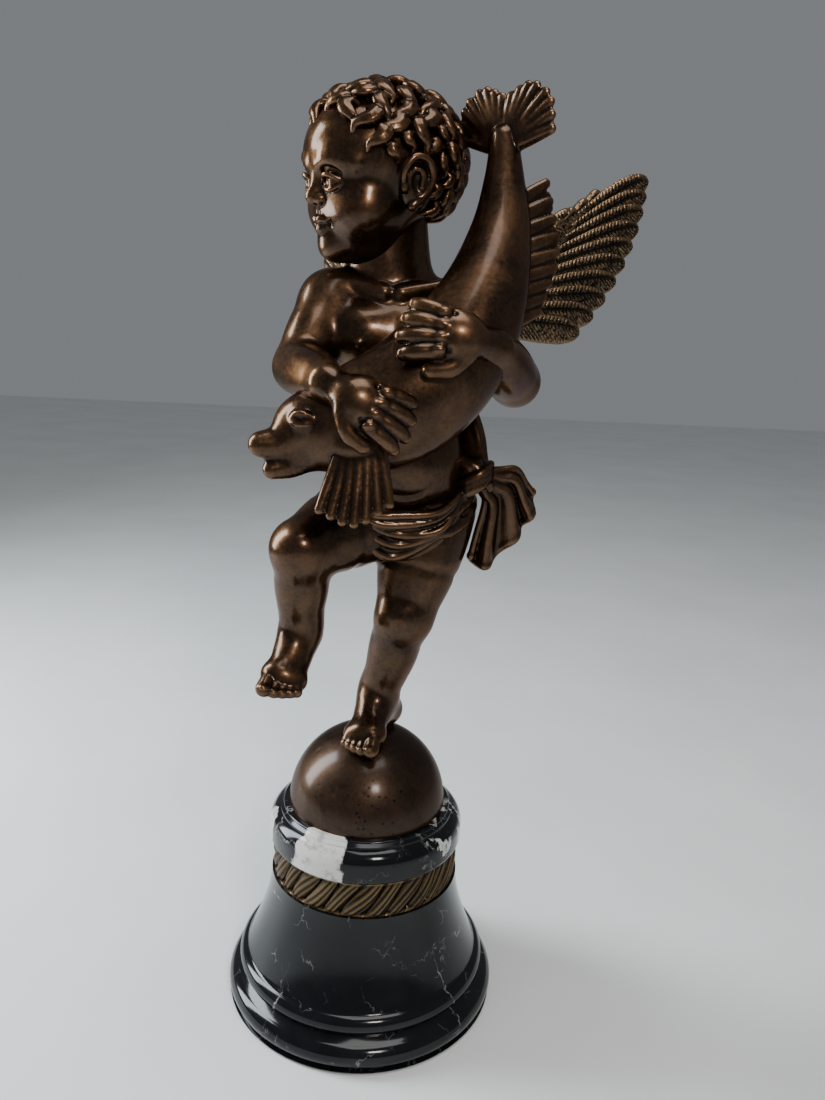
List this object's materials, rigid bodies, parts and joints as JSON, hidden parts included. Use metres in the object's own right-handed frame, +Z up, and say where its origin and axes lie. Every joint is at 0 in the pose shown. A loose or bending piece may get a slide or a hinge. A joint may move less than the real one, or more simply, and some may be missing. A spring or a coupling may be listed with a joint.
{
  "type": "cherub statue",
  "caption": "Bronze statue of a winged cherub carrying a dolphin, standing on a bronze dome above a bell-shaped black marble base.",
  "frame": {"origin": "centre of the round base's flat underside", "axes": "+Z up, the front of the statue faces -Y, +X to the figure's left"},
  "size_m": [0.2565, 0.2676, 0.5733],
  "materials": {
    "bronze": "dark brown patinated bronze, waxed to a gloss",
    "gilt_bronze": "golden brown bronze with dark recesses",
    "black_marble": "polished black marble with white veins"
  },
  "bodies": {
    "root": {"marble_base": "black_marble", "rope_band": "gilt_bronze", "marble_cap": "black_marble", "bronze_dome": "bronze", "cherub_with_dolphin": "bronze"}
  },
  "joints": []
}
